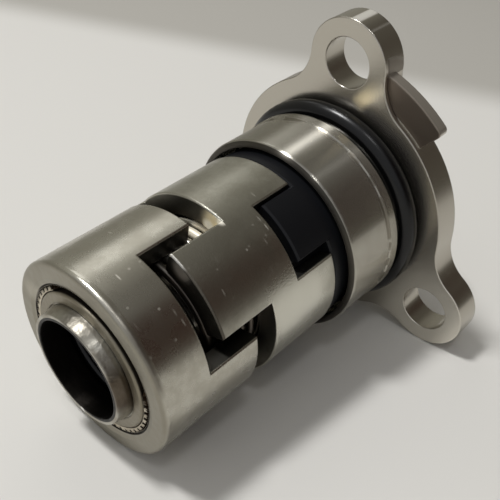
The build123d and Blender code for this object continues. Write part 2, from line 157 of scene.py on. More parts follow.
# The room. A pale wall stands to the left, pale cupboards behind the camera and a person on
# its right, and the rest is dark. The barrels show all that, the two lamps overhead and a
# small window as light and dark bands along them.
WALL_COLOUR = "#96948A"
ROOM_COLOUR = "#605C54"
CUPBOARD_COLOUR = "#C0C1C3"
PERSON_COLOUR = "#3A2A23"
LIT_PLACE = Vector((0, 0, 0.02))        # what the lamps face


def towards(heading, rise):
    """A direction from its heading and its rise, both in degrees."""
    turn, lift = math.radians(heading), math.radians(rise)
    return Vector((
        math.cos(lift) * math.cos(turn), math.cos(lift) * math.sin(turn), math.sin(lift)))


world = bpy.data.worlds.new("room")
bpy.context.scene.world = world
world.use_nodes = True
tree = world.node_tree
direction = add_node(tree, "ShaderNodeTexCoord").outputs["Generated"]
light = linear(ROOM_COLOUR)
for colour, centre, inner, outer in (
        (WALL_COLOUR, towards(86, 18), 37, 80), (CUPBOARD_COLOUR, towards(205, 32), 35, 73),
        (PERSON_COLOUR, towards(-74, 30), 16, 36)):
    turn = add_node(tree, "ShaderNodeVectorMath", {
        "operation": "DOT_PRODUCT", 1: centre}, {0: direction})
    share = add_node(tree, "ShaderNodeMapRange", {
        "interpolation_type": "SMOOTHSTEP",
        "From Min": math.cos(math.radians(outer)), "From Max": math.cos(math.radians(inner)),
    }, {"Value": turn.outputs["Value"]})
    light = add_node(tree, "ShaderNodeMix", {"data_type": "RGBA", 7: linear(colour)},
                     {0: share.outputs["Result"], 6: light}).outputs[2]
tree.links.new(light, tree.nodes["Background"].inputs["Color"])
tree.nodes["Background"].inputs["Strength"].default_value = 1.0


def hang_lamp(name, direction, distance, size, power):
    """A square soft lamp in one direction from the seal, facing it."""
    place = LIT_PLACE + direction * distance
    lamp = bpy.data.objects.new(name, bpy.data.lights.new(name, "AREA"))
    lamp.data.size = size
    lamp.data.energy = power
    lamp.matrix_world = Matrix.LocRotScale(place, (-direction).to_track_quat("-Z", "Y"), None)
    bpy.context.scene.collection.objects.link(lamp)


hang_lamp("near_ceiling_lamp", towards(130, 68), distance=1.2, size=0.18, power=9.0)
hang_lamp("far_ceiling_lamp", towards(229, 63), distance=1.2, size=0.12, power=0.9)
hang_lamp("window", towards(64, 48), distance=0.5, size=0.18, power=0.1)

# Shared ground for every steel finish. Patterns are set out in the seal's own frame, so that they
# follow the lathe. The radius from the axis tells the outside of a barrel from its bore and
# slots, where the metal is painted dark as shade.
BARREL_R = 15.75


def seal_place(tree):
    """Sockets for the place in the seal's own frame, its height and its radius, in mm."""
    place = add_node(tree, "ShaderNodeTexCoord").outputs["Object"]
    turned = add_node(tree, "ShaderNodeMapping", {
        "Location": -(seal_turn @ mouth) / MM, "Rotation": seal_turn.to_euler(),
        "Scale": (1 / MM,) * 3,
    }, {"Vector": place}).outputs[0]
    height = add_node(tree, "ShaderNodeSeparateXYZ", {}, {0: turned}).outputs["Z"]
    flat = add_node(tree, "ShaderNodeVectorMath", {
        "operation": "MULTIPLY", 1: (1, 1, 0)}, {0: turned})
    radius = add_node(tree, "ShaderNodeVectorMath", {"operation": "LENGTH"}, {0: flat.outputs[0]})
    return turned, height, radius.outputs["Value"]


def fade(tree, value, low, high, at_low=0.0, at_high=1.0):
    """A value that passes smoothly from one level to another between low and high."""
    return add_node(tree, "ShaderNodeMapRange", {
        "interpolation_type": "SMOOTHSTEP", "From Min": low, "From Max": high,
        "To Min": at_low, "To Max": at_high}, {"Value": value}).outputs["Result"]


def formula(tree, terms):
    """The socket of a formula: an operation and its terms, which may be formulas too."""
    if not isinstance(terms, tuple):
        return terms
    operation, *parts = terms
    return add_node(tree, "ShaderNodeMath", {"operation": operation}, {
        index: formula(tree, part) for index, part in enumerate(parts)}).outputs[0]


def product(tree, *shares):
    """The product of numbers and sockets, as one socket."""
    total = shares[0]
    for share in shares[1:]:
        total = formula(tree, ("MULTIPLY", total, share))
    return total


def near(tree, spot, within, beyond):
    """A share that is whole within some mm of a spot and none beyond some more."""
    place = add_node(tree, "ShaderNodeTexCoord").outputs["Object"]
    away = add_node(tree, "ShaderNodeVectorMath", {"operation": "DISTANCE", 1: spot}, {0: place})
    return fade(tree, away.outputs["Value"], within * MM, beyond * MM, 1.0, 0.0)


def lay(tree, shader, colour, roughness, metal, strength, *shares):
    """Lay a film, stain or scratch, or painted light or shade, over a finish, as strong as all
    the shares allow.
    """
    share = product(tree, strength, *shares)
    for name, value, kind, below, above in (
            ("Base Color", linear(colour), "RGBA", 6, 7),
            ("Roughness", roughness, "FLOAT", 2, 3), ("Metallic", metal, "FLOAT", 2, 3)):
        target = shader.inputs[name]
        mix = add_node(tree, "ShaderNodeMix", {
            "data_type": kind, below: target.default_value, above: value}, {0: share})
        if target.is_linked:
            tree.links.new(target.links[0].from_socket, mix.inputs[below])
        tree.links.new(mix.outputs[2 if kind == "RGBA" else 0], target)


def emboss(tree, shader, depth, height, *shares):
    """Press a relief of a depth in mm into a finish, as strong as the shares allow."""
    target = shader.inputs["Normal"]
    bump = add_node(tree, "ShaderNodeBump", {"Distance": depth * MM},
                    {"Height": product(tree, height, *shares)})
    if target.is_linked:
        tree.links.new(target.links[0].from_socket, bump.inputs["Normal"])
    tree.links.new(bump.outputs[0], target)


def soften_edges(tree, shader, radius):
    """Let the light run round a worn edge of a radius in mm, as it does after tumbling."""
    soft = add_node(tree, "ShaderNodeBevel", {"samples": 6, "Radius": radius * MM})
    tree.links.new(soft.outputs[0], shader.inputs["Normal"])


def across_the_lathe(tree):
    """The direction across the tool's grooves: along a barrel, and outwards on a face."""
    place = add_node(tree, "ShaderNodeTexCoord").outputs["Object"]
    normal = add_node(tree, "ShaderNodeNewGeometry").outputs["True Normal"]
    arm = add_node(tree, "ShaderNodeVectorMath", {"operation": "SUBTRACT", 1: mouth}, {0: place})
    grooves_run = add_node(tree, "ShaderNodeVectorMath", {
        "operation": "CROSS_PRODUCT", 1: axis}, {0: arm.outputs[0]})
    across = add_node(tree, "ShaderNodeVectorMath", {"operation": "CROSS_PRODUCT"}, {
        0: grooves_run.outputs[0], 1: normal})
    return add_node(tree, "ShaderNodeVectorMath", {"operation": "NORMALIZE"}, {
        0: across.outputs[0]}).outputs[0]


def steel(name, colour, smudge_colour, roughness, spread, smudge, lathe_shine):
    """Bare steel with smudges of a size in mm: its material, tree, shader and places.

    The lathe's shine is how much the tool's fine grooves stretch a highlight across them.
    """
    material, tree, shader = new_finish(name, {
        "Base Color": linear(colour), "Roughness": roughness - spread, "Metallic": 1.0,
        "Anisotropic": lathe_shine})
    tree.links.new(across_the_lathe(tree), shader.inputs["Tangent"])
    turned, height, radius = seal_place(tree)
    smudges = add_node(tree, "ShaderNodeTexNoise", {
        "Scale": 1 / smudge, "Detail": 5.0, "Roughness": 0.65}, {"Vector": turned})
    smudged = fade(tree, smudges.outputs["Fac"], 0.35, 0.65)
    lay(tree, shader, smudge_colour, roughness + spread, 1.0, 1.0, smudged)
    return material, tree, shader, turned, height, radius


def dress(material, *names):
    """Give CAD nodes their finish."""
    for name in names:
        for slot in frame["nodes"][name].material_slots:
            slot.material = material


# The shaft sleeve: thin stainless tube, turned and polished, with a mouth drawn in by a press
# tool that left it rippled. Its bore is painted black as shade, and the gap behind its shoulder
# is painted dark brown as shade. On the neck, painted shade dims the lamp's highlight, and a
# painted dark reflection lies low on one side. A knock left a nick on the lip, painted as a
# bright glint.
SLEEVE_R = 9.2
BORE_R = 8.0
SHOULDER_R = 11.1
SHOULDER_FRONT = 2.2
material, tree, shader, turned, height, radius = steel(
    "polished_turned_stainless_steel", "#B9B6AC", "#A09A8D",
    roughness=0.35, spread=0.06, smudge=3, lathe_shine=0.5)
soften_edges(tree, shader, 0.4)
ripples = add_node(tree, "ShaderNodeTexNoise", {
    "Scale": 1 / 1.1, "Detail": 2.0}, {"Vector": turned})
# The tool's real grooves are about 0.1 mm apart, too fine to show, so these are coarser.
grooves = add_node(tree, "ShaderNodeTexNoise", {
    "noise_dimensions": "1D", "Scale": 1 / 0.25, "Detail": 2.0}, {"W": height})
emboss(tree, shader, 0.08, ripples.outputs["Fac"])
emboss(tree, shader, 0.002, grooves.outputs["Fac"])
on_shoulder = fade(tree, radius, SLEEVE_R + 0.15, SLEEVE_R + 0.4)
on_neck = fade(tree, radius, SLEEVE_R + 0.1, SLEEVE_R + 0.15, 1.0, 0.0)
lay(tree, shader, "#857E6E", 0.4, 1.0, 0.9, on_shoulder)
# Painted shade: a darker tone on the neck dims the lamp's highlight there.
lay(tree, shader, "#7C786F", 0.4, 1.0, 0.9,
    on_neck, near(tree, on_seal(SLEEVE_R, 187, 0.7), 1.5, 4))
# Painted reflection: a dark brown patch low on the neck stands for the dark side of the room
# reflected there.
lay(tree, shader, "#54493D", 0.3, 1.0, 0.9,
    on_neck, near(tree, on_seal(SLEEVE_R, 257, 1.2), 2, 5))
# Painted shade: the gap behind the shoulder is painted dark brown.
in_gap = product(tree, fade(tree, radius, SHOULDER_R - 0.1, SHOULDER_R - 0.02),
                 fade(tree, height, SHOULDER_FRONT + 0.2, SHOULDER_FRONT + 0.5))
lay(tree, shader, "#2A231C", 0.5, 0.7, 1.0, in_gap)
# Painted shade: the bore is painted near black.
in_bore = fade(tree, radius, BORE_R + 0.4, BORE_R + 0.5, 1.0, 0.0)
lay(tree, shader, "#14110E", 0.45, 0.9, 1.0, in_bore)
# The nick on the lip is painted as a pale spot, a painted glint.
lay(tree, shader, "#F2F0EA", 0.4, 0.2, 1.0, near(tree, on_seal(8.7, 1, 0), 0.3, 0.6))
dress(material, "shaft_sleeve")

# The spring housing and the drive carrier: stainless barrels, ground and tumbled to a satin.
# Handling left short light scratches and tiny specks on them. Inside, and on the walls of the
# slots, the steel is painted dark as shade.
HOUSING_FRONT = 2.2
MOUTH_R = 12.0
WALL = 3.4


def scratches(tree, turned, height):
    """The share of short scratches and specks on an unrolled barrel.

    Each kind has its turn in degrees, the size of its cells, the stretch that makes a speck a
    scratch, its width, and the level of chance from which a cell has one.
    """
    place = add_node(tree, "ShaderNodeSeparateXYZ", {}, {0: turned})
    angle = formula(tree, ("ARCTAN2", place.outputs["Y"], place.outputs["X"]))
    unrolled = add_node(tree, "ShaderNodeCombineXYZ", {}, {
        "X": formula(tree, ("MULTIPLY", angle, BARREL_R)), "Y": height})
    share = 0.0
    for turn, cell, stretch, width, kept in (
            (35, 1.5, 4.5, 0.075, 0.6), (-20, 1.9, 4.0, 0.06, 0.8), (0, 2.2, 1.0, 0.08, 0.75)):
        lines = add_node(tree, "ShaderNodeMapping", {
            "Rotation": (0, 0, math.radians(turn)), "Scale": (1 / stretch, 1.0, 1.0),
        }, {"Vector": unrolled.outputs[0]})
        cells = add_node(tree, "ShaderNodeTexVoronoi", {
            "voronoi_dimensions": "2D", "Scale": 1 / cell}, {"Vector": lines.outputs[0]})
        chance = add_node(tree, "ShaderNodeSeparateColor", {}, {0: cells.outputs["Color"]})
        line = product(
            tree, fade(tree, cells.outputs["Distance"], width * 0.5, width * 1.5, 1.0, 0.0),
            fade(tree, chance.outputs["Red"], kept, kept + 0.4))
        share = formula(tree, ("MAXIMUM", share, line))
    return share


def satin_barrel(name, colour, smudge_colour, roughness, lathe_shine, grain, depth, worn_place):
    """Satin steel with a grain of a size and depth in mm, scratched most round one place.

    The real grain is a few hundredths of a mm, too fine to show, so it is drawn coarser.
    """
    material, tree, shader, turned, height, radius = steel(
        name, colour, smudge_colour, roughness, 0.03, 5, lathe_shine)
    soften_edges(tree, shader, 0.25)
    grains = add_node(tree, "ShaderNodeTexNoise", {
        "Scale": 1 / grain, "Detail": 2.0, "Roughness": 0.6}, {"Vector": turned})
    emboss(tree, shader, depth, grains.outputs["Fac"])
    scratched = scratches(tree, turned, height)
    lay(tree, shader, "#B6B1A7", 0.7, 0.2, 0.2, scratched)
    lay(tree, shader, "#B6B1A7", 0.7, 0.2, 0.4,
        scratched, near(tree, worn_place, 3, 10))
    inside = fade(tree, radius, BARREL_R - 0.27, BARREL_R - 0.22, 1.0, 0.0)
    return material, tree, shader, height, radius, inside


# The housing's front edge is dented, and worn smoother on one side, where its colour is also
# lightened as a painted highlight; further round, painted shade dulls it. Just inside the mouth
# its wall is pale, with painted shade in the roots of its knurl and on the side where the gap
# stays open, and a painted highlight on the mouth's edge on one side.
material, tree, shader, height, radius, inside = satin_barrel(
    "satin_ground_stainless_steel", "#C0BDB2", "#AFAB9F", roughness=0.28, lathe_shine=0.15,
    grain=0.25, depth=0.004, worn_place=on_seal(BARREL_R, 208, 7))
# Painted shade: inside the housing, behind its mouth, the steel is painted dark.
behind_mouth = fade(tree, height, HOUSING_FRONT + 2.0, HOUSING_FRONT + 2.6)
lay(tree, shader, "#1E1A15", 0.4, 1.0, 1.0,
    inside, behind_mouth, fade(tree, radius, BARREL_R - WALL, BARREL_R - 0.3, 0.95, 0.7))
on_front = fade(tree, height, HOUSING_FRONT + 0.1, HOUSING_FRONT + 0.7, 1.0, 0.0)
lay(tree, shader, "#8C877A", 0.42, 1.0, 0.8, on_front)
dents = add_node(tree, "ShaderNodeTexNoise", {"Scale": 1 / (1.8 * MM), "Detail": 1.0}, {
    "Vector": add_node(tree, "ShaderNodeTexCoord").outputs["Object"]})
on_rim = fade(tree, height, HOUSING_FRONT + 0.7, HOUSING_FRONT + 1.4, 1.0, 0.0)
emboss(tree, shader, 0.1, dents.outputs["Fac"], on_rim)
# Painted highlight: the rounding is smoother here and painted lighter where the lamp shines on
# it.
on_rounding = product(tree, on_rim, fade(tree, height, HOUSING_FRONT + 0.1, HOUSING_FRONT + 0.4))
lay(tree, shader, "#D2CFC4", 0.22, 1.0, 1.0,
    on_rounding, near(tree, on_seal(BARREL_R, 192, 2.6), 4, 9))
# Painted shade: further round, the rounding is painted darker.
lay(tree, shader, "#6E675C", 0.5, 1.0, 0.6,
    on_rounding, near(tree, on_seal(BARREL_R, 224, 2.6), 5, 9))
in_mouth = product(tree, fade(tree, radius, MOUTH_R + 0.35, MOUTH_R + 0.4, 1.0, 0.0),
                   fade(tree, height, HOUSING_FRONT + 1.4, HOUSING_FRONT + 2.2, 1.0, 0.0))
lay(tree, shader, "#E2DAC9", 0.5, 0.35, 1.0, in_mouth)
# Painted shade: the roots of the wall's knurl are painted dark.
lay(tree, shader, "#1C140D", 0.5, 1.0, 1.0,
    in_mouth, fade(tree, radius, MOUTH_R + 0.06, MOUTH_R + 0.12))
# Painted shade: the wall is painted dark on the side where the gap stays open.
lay(tree, shader, "#241D17", 0.5, 1.0, 0.95,
    in_mouth, near(tree, on_seal(12.1, 206, 2.6), 7, 10))
# Painted highlight: a pale patch on the mouth's edge on one side.
lay(tree, shader, "#D2CCBF", 0.42, 1.0, 0.35, near(tree, on_seal(12.9, 116, 2.2), 0.5, 3.2))
dress(material, "spring_housing")

# On the carrier one side is worn smoother, with its colour lightened there as a painted
# reflection. The slot's end wall has a golden painted highlight and two white ones, where the
# light gets in. One tooth's end has a painted light patch, and the teeth's tip edges are painted
# dark as shade, with a painted highlight near one corner.
TOOTH_END = 14.2
SLOT_END = 24.0
material, tree, shader, height, radius, inside = satin_barrel(
    "satin_tumbled_stainless_steel", "#BAB8AD", "#A3A094", roughness=0.31, lathe_shine=0.0,
    grain=0.25, depth=0.022, worn_place=on_seal(BARREL_R, 200, 27))
# Painted shade: inside the carrier and on its slot walls the steel is painted dark.
lay(tree, shader, "#2A231B", 0.4, 1.0, 1.0,
    inside, fade(tree, radius, BARREL_R - WALL, BARREL_R - 0.3, 0.88, 0.5))
# Painted highlight: a golden patch on the slot's end wall where the light gets in.
on_slot_end = fade(tree, height, SLOT_END + 0.02, SLOT_END + 0.1, 1.0, 0.0)
lay(tree, shader, "#F0E2BC", 0.35, 0.3, 1.0,
    on_slot_end, inside, near(tree, on_seal(14.4, 193.5, SLOT_END), 1.2, 3.6))
# Painted highlights: two white spots on the slot's end wall.
lay(tree, shader, "#FFFAEA", 0.5, 0.0, 1.0,
    on_slot_end, inside, near(tree, on_seal(12.9, 188, SLOT_END), 0.5, 1.5))
lay(tree, shader, "#FFFAEA", 0.5, 0.0, 1.0,
    on_slot_end, near(tree, on_seal(15.3, 196, SLOT_END), 0.4, 1.2))
# Painted highlight: a light patch on one tooth's end.
on_tooth_end = fade(tree, height, TOOTH_END + 0.05, TOOTH_END + 0.1, 1.0, 0.0)
lay(tree, shader, "#BDB4A6", 0.35, 0.6, 0.9,
    on_tooth_end, near(tree, on_seal(15.0, 206, TOOTH_END), 0.8, 2.4))
# Painted shade: the teeth's tip edges are painted dark.
on_edge = product(tree, fade(tree, height, TOOTH_END + 0.25, TOOTH_END + 0.4, 1.0, 0.0),
                  fade(tree, radius, BARREL_R - 0.35, BARREL_R - 0.25))
lay(tree, shader, "#4A433B", 0.5, 1.0, 0.85, on_edge)
# Painted highlight: the tip edge is painted bright near one corner.
lay(tree, shader, "#DAD7CE", 0.3, 1.0, 0.9,
    on_edge, near(tree, on_seal(BARREL_R, 196, TOOTH_END), 2.0, 3.5))
# Painted reflection: one side is smoother and painted lighter, standing for the lit table it
# reflects.
lay(tree, shader, "#DAD8CD", 0.24, 1.0, 0.85, near(tree, on_seal(BARREL_R, 257, 29), 3.6, 9))
dress(material, "drive_carrier")

# The gland: flange, ears and spigot turned from one stainless piece, with the tool's rings left
# on its face. Its tab is painted dark as shade, and a pale golden streak below the upper ear is a
# painted highlight. That ear's end has two painted reflection bands, one pale and one grey, and
# the lower ear's face is painted lighter as reflected light. The spigot's front end is painted
# dark as shade.
SPIGOT_FRONT = 40.3
SPIGOT_STEP = 49.7
FLANGE_FACE = 56.65
TAB_FACE = 57.55
TAB_FOOT_R = 22.3
TAB_R = 27.2
EAR_END_R = 34.4
STREAK_ENDS = ((19.95, 188.4), (25.3, 194.6))       # radius, and angle in degrees
EAR_LIGHT_BANDS = (                                       # colour, strength and sideways limits
    ("#EFECE4", 0.8, -1.3, 0.3), ("#A5A19A", 0.6, -4.3, -3.5))

material, tree, shader, turned, height, radius = steel(
    "turned_and_polished_stainless_steel", "#B5B2A8", "#AEAAA0",
    roughness=0.26, spread=0.01, smudge=6, lathe_shine=1.0)
# The spigot has all of the lathe's shine, and the flange behind it a quarter.
tree.links.new(fade(tree, height, 52, 53, 1.0, 0.25), shader.inputs["Anisotropic"])
soften_edges(tree, shader, 0.2)
# These rings too are drawn coarser than the real ones.
rings = add_node(tree, "ShaderNodeTexNoise", {
    "noise_dimensions": "1D", "Scale": 1 / 0.3, "Detail": 2.0}, {"W": radius})
on_face = fade(tree, height, FLANGE_FACE - 0.65, FLANGE_FACE - 0.05)
emboss(tree, shader, 0.0015, rings.outputs["Fac"], on_face)
lay(tree, shader, "#BAB5AB", 0.24, 1.0, 1.0, on_face)

# Painted highlight: a golden streak on the flange's face below the upper ear.
streak_low, streak_high = [
    on_seal(end_radius, angle, FLANGE_FACE) for end_radius, angle in STREAK_ENDS]
runs = (streak_high - streak_low).normalized()
from_low = add_node(tree, "ShaderNodeVectorMath", {"operation": "SUBTRACT", 1: streak_low}, {
    0: add_node(tree, "ShaderNodeTexCoord").outputs["Object"]}).outputs[0]
reach, side = [
    add_node(tree, "ShaderNodeVectorMath", {
        "operation": "DOT_PRODUCT", 1: way}, {0: from_low}).outputs["Value"]
    for way in (runs, axis.cross(runs))]
off = formula(tree, ("ABSOLUTE", side))
streak = product(tree, fade(tree, reach, -1.0 * MM, 0.6 * MM),
                 fade(tree, reach, 0.6 * MM, 7.0 * MM, 1.0, 0.0),
                 fade(tree, off, 0.4 * MM, 1.9 * MM, 1.0, 0.0))
lay(tree, shader, "#FFF0CC", 0.26, 0.75, 0.95, streak, on_face)

sideways = add_node(tree, "ShaderNodeSeparateXYZ", {}, {0: turned}).outputs["Y"]
on_ear_end = product(tree, fade(tree, radius, EAR_END_R - 2.0, EAR_END_R - 1.8),
                     fade(tree, height, FLANGE_FACE + 0.1, FLANGE_FACE + 0.25))
# Painted reflection: two bands across the upper ear's end, one pale and one grey.
for colour, strength, left, right in EAR_LIGHT_BANDS:
    lay(tree, shader, colour, 0.35, 0.4, strength, on_ear_end,
        fade(tree, sideways, left - 0.3, left + 0.3),
        fade(tree, sideways, right - 0.3, right + 0.3, 1.0, 0.0))

# Patches along the step are rougher and painted darker, which breaks its highlight into dashes.
step_patches = add_node(tree, "ShaderNodeTexNoise", {
    "Scale": 1 / 2.5, "Detail": 1.0}, {"Vector": turned})
on_step = product(tree, fade(tree, height, SPIGOT_STEP - 0.5, SPIGOT_STEP - 0.3),
                  fade(tree, height, SPIGOT_STEP + 0.3, SPIGOT_STEP + 0.5, 1.0, 0.0))
lay(tree, shader, "#8A8478", 0.4, 1.0, 0.8,
    on_step, fade(tree, step_patches.outputs["Fac"], 0.45, 0.55))
# Painted shade: the spigot's front end is painted dark.
on_spigot_end = fade(tree, height, SPIGOT_FRONT + 0.25, SPIGOT_FRONT + 0.4, 1.0, 0.0)
lay(tree, shader, "#2B2621", 0.4, 1.0, 0.85, on_spigot_end)

# Painted shade: the tab's face is painted dark, and its rim a duller brown-grey.
on_tab = product(tree, fade(tree, radius, TAB_FOOT_R, TAB_FOOT_R + 0.2),
                 fade(tree, height, TAB_FACE - 0.25, TAB_FACE - 0.15),
                 near(tree, on_seal(24.9, 206, TAB_FACE + 0.05), 7, 8))
on_tab_face = fade(tree, height, TAB_FACE + 0.15, TAB_FACE + 0.25, 1.0, 0.0)
lay(tree, shader, "#6A5F57", 0.3, 1.0, 0.9, on_tab, on_tab_face)
lay(tree, shader, "#7E766B", 0.5, 0.4, 0.8, on_tab, fade(tree, radius, TAB_R - 0.4, TAB_R - 0.2))
# Painted light: the lower ear's face is painted lighter.
lay(tree, shader, "#DDD8CC", 0.26, 0.76, 0.9,
    near(tree, on_seal(27, 300, FLANGE_FACE), 5, 13),
    fade(tree, height, FLANGE_FACE + 0.05, FLANGE_FACE + 0.15, 1.0, 0.0))
dress(material, "gland_flange")

# The drive collar behind the flange: turned from stainless bar, with the lathe's shine on it.
dress(steel("turned_stainless_collar", "#C4BFB4", "#B2AA9E",
            roughness=0.26, spread=0.05, smudge=6, lathe_shine=0.5)[0], "drive_collar")

# The O-rings: moulded black rubber, wiped with a little grease, which shines on it. The
# mould's real grain is too fine to show, so it is drawn coarser.


def grainy(name, settings, grain, detail, depth):
    """A finish with a grain of a size and depth in mm."""
    material, tree, shader = new_finish(name, settings)
    grains = add_node(tree, "ShaderNodeTexNoise", {"Scale": 1 / grain, "Detail": detail}, {
        "Vector": seal_place(tree)[0]})
    emboss(tree, shader, depth, grains.outputs["Fac"])
    return material


rubber = grainy("moulded_black_rubber", {
    "Base Color": linear("#070708"), "Roughness": 0.27, "Specular IOR Level": 0.36,
}, grain=0.4, detail=3.0, depth=0.006)
dress(rubber, "flange_o_ring", "seat_o_ring", "face_o_ring", "shaft_o_ring")

# The rotating face and the seat: pressed and sintered black silicon carbide, lapped on the
# nose. Its grain too is drawn coarser than it is.
carbide = grainy("pressed_black_silicon_carbide", {
    "Base Color": linear("#101114"), "Roughness": 0.4, "Specular IOR Level": 0.25,
}, grain=0.25, detail=4.0, depth=0.004)
dress(carbide, "rotating_face", "stationary_seat")

# Plain steel washers, pins and the retaining ring, all inside, and the drive collar's
# screws, which are blackened against rust.
plain = steel("plain_steel", "#A9A69F", "#8D887E",
              roughness=0.34, spread=0.06, smudge=3, lathe_shine=0.0)[0]
dress(plain, "spring_washer", "support_washer", "seat_pin_1", "seat_pin_2", "retaining_ring")
blackened = grainy("black_oxide_steel", {
    "Base Color": linear("#2B2B2E"), "Roughness": 0.38, "Metallic": 1.0,
}, grain=0.3, detail=3.0, depth=0.003)
dress(blackened, "set_screw_1", "set_screw_2", "set_screw_3")

# The glide washer between flange and collar: white filled PTFE, cut from sheet.
ptfe = new_finish("filled_white_ptfe", {"Base Color": linear("#E4E2DC"), "Roughness": 0.45})[0]
dress(ptfe, "glide_washer")

# The spring: round stainless wire, coiled, with its last turns closed and ground flat. A formula
# sets out the wire's middle and a circle is swept along it. Under the slot the turns carry a
# painted highlight where light falls on them, and the others are painted dark as shade.
WIRE_R = 0.7
SPRING_R = 11.05
SPRING_TURNS = 9
CLOSED_TURNS = 0.9
GROUND_SHARE = 0.25                     # of the wire, left at each ground end
SPRING_FRONT = 9.6
SPRING_REAR = 27.6
STEPS_A_TURN = 48
STEPS_ROUND_WIRE = 16

wire_steel, tree, shader = steel(
    "drawn_spring_wire", "#E6E3DB", "#D0CCC2",
    roughness=0.3, spread=0.04, smudge=2, lathe_shine=0.0)[:3]
# Painted highlight: the turns under the slot are painted pale.
lay(tree, shader, "#FFF6E0", 0.45, 0.1, 0.9, near(tree, on_seal(11.6, 184, 24.2), 2, 3.2))
# Painted shade: turns away from the slot are painted dark.
to_slot = near(tree, on_seal(SPRING_R, 183, 21), 5, 8)
lay(tree, shader, "#3A2F27", 0.3, 1.0, 0.9, formula(tree, ("SUBTRACT", 1.0, to_slot)))


def new_form(name, settings):
    """An empty Geometry Nodes tree, and the sockets of its named inputs in their order."""
    tree = bpy.data.node_groups.new(name, "GeometryNodeTree")
    tree.interface.new_socket("Geometry", in_out="OUTPUT", socket_type="NodeSocketGeometry")
    for setting in settings:
        tree.interface.new_socket(setting, in_out="INPUT", socket_type="NodeSocketFloat")
    given = add_node(tree, "NodeGroupInput")
    return tree, [given.outputs[setting] for setting in settings]


def grown(name, tree, geometry, material, settings):
    """A plain mesh object from a tree's geometry, smooth, clad and seated on the seal."""
    smooth = add_node(tree, "GeometryNodeSetShadeSmooth", {}, {"Geometry": geometry})
    seated = add_node(tree, "GeometryNodeTransform", {
        "Translation": mouth, "Rotation": seal_turn.transposed().to_euler(),
    }, {"Geometry": smooth.outputs[0]})
    real = add_node(tree, "GeometryNodeRealizeInstances", {}, {"Geometry": seated.outputs[0]})
    clad = add_node(tree, "GeometryNodeSetMaterial", {"Material": material}, {
        "Geometry": real.outputs[0]})
    add_node(tree, "NodeGroupOutput", {}, {"Geometry": clad.outputs[0]})

    grown_object = bpy.data.objects.new(name, bpy.data.meshes.new(name))
    bpy.context.scene.collection.objects.link(grown_object)
    modifier = grown_object.modifiers.new(name, "NODES")
    modifier.node_group = tree
    for item in tree.interface.items_tree:
        if item.in_out == "INPUT":
            modifier[item.identifier] = settings[item.name]
    grown_object.update_tag()
    bpy.context.view_layer.update()
    evaluated = grown_object.evaluated_get(bpy.context.evaluated_depsgraph_get())
    mesh = bpy.data.meshes.new_from_object(evaluated)
    grown_object.modifiers.clear()
    grown_object.data = mesh
    return grown_object


settings = {
    "Wire Radius": WIRE_R * MM, "Coil Radius": SPRING_R * MM, "Turns": float(SPRING_TURNS),
    "Closed Turns": CLOSED_TURNS, "Front": SPRING_FRONT * MM, "Rear": SPRING_REAR * MM,
}
coil, (wire_radius, coil_radius, all_turns, closed_turns, front, rear) = new_form(
    "ground_end_coil", settings)
line = add_node(coil, "GeometryNodeCurvePrimitiveLine")
points = add_node(coil, "GeometryNodeResampleCurve", {
    "Count": STEPS_A_TURN * SPRING_TURNS + 1}, {"Curve": line.outputs[0]})
along = add_node(coil, "GeometryNodeSplineParameter").outputs["Factor"]
turns = formula(coil, ("MULTIPLY", along, all_turns))
angle = formula(coil, ("MULTIPLY", turns, 2 * math.pi))
wire = formula(coil, ("MULTIPLY", wire_radius, 2.0))
first_middle = formula(coil, ("ADD", front, ("MULTIPLY", wire, GROUND_SHARE)))
last_middle = formula(coil, ("SUBTRACT", rear, ("MULTIPLY", wire, GROUND_SHARE)))
last_open = formula(coil, ("SUBTRACT", all_turns, closed_turns))
open_share = add_node(coil, "ShaderNodeMapRange", {}, {
    "Value": turns, "From Min": closed_turns, "From Max": last_open}).outputs["Result"]
closed_length = ("MULTIPLY", ("MULTIPLY", wire, closed_turns), 2.0)
open_length = ("SUBTRACT", ("SUBTRACT", last_middle, first_middle), closed_length)
turns_closed_so_far = (
    "ADD", ("MINIMUM", turns, closed_turns), ("MAXIMUM", 0.0, ("SUBTRACT", turns, last_open)))
rise = ("ADD", ("MULTIPLY", turns_closed_so_far, wire), ("MULTIPLY", open_share, open_length))
place = add_node(coil, "ShaderNodeCombineXYZ", {}, {
    "X": formula(coil, ("MULTIPLY", ("COSINE", angle), coil_radius)),
    "Y": formula(coil, ("MULTIPLY", ("SINE", angle), coil_radius)),
    "Z": formula(coil, ("ADD", first_middle, rise))})
helix = add_node(coil, "GeometryNodeSetPosition", {}, {
    "Geometry": points.outputs[0], "Position": place.outputs[0]})
section = add_node(coil, "GeometryNodeCurvePrimitiveCircle", {
    "Resolution": STEPS_ROUND_WIRE}, {"Radius": wire_radius})
swept = add_node(coil, "GeometryNodeCurveToMesh", {"Fill Caps": True}, {
    "Curve": helix.outputs[0], "Profile Curve": section.outputs[0]})
swept_place = add_node(coil, "GeometryNodeInputPosition").outputs[0]
position = add_node(coil, "ShaderNodeSeparateXYZ", {}, {0: swept_place})
ground = add_node(coil, "ShaderNodeClamp", {}, {
    "Value": position.outputs["Z"], "Min": front, "Max": rear})
ground_place = add_node(coil, "ShaderNodeCombineXYZ", {}, {
    "X": position.outputs["X"], "Y": position.outputs["Y"], "Z": ground.outputs[0]})
ends = add_node(coil, "GeometryNodeSetPosition", {}, {
    "Geometry": swept.outputs[0], "Position": ground_place.outputs[0]})

spring = grown("wire_spring", coil, ends.outputs[0], wire_steel, settings)
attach(spring, "carrier")
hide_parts("coil_spring")
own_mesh(spring)

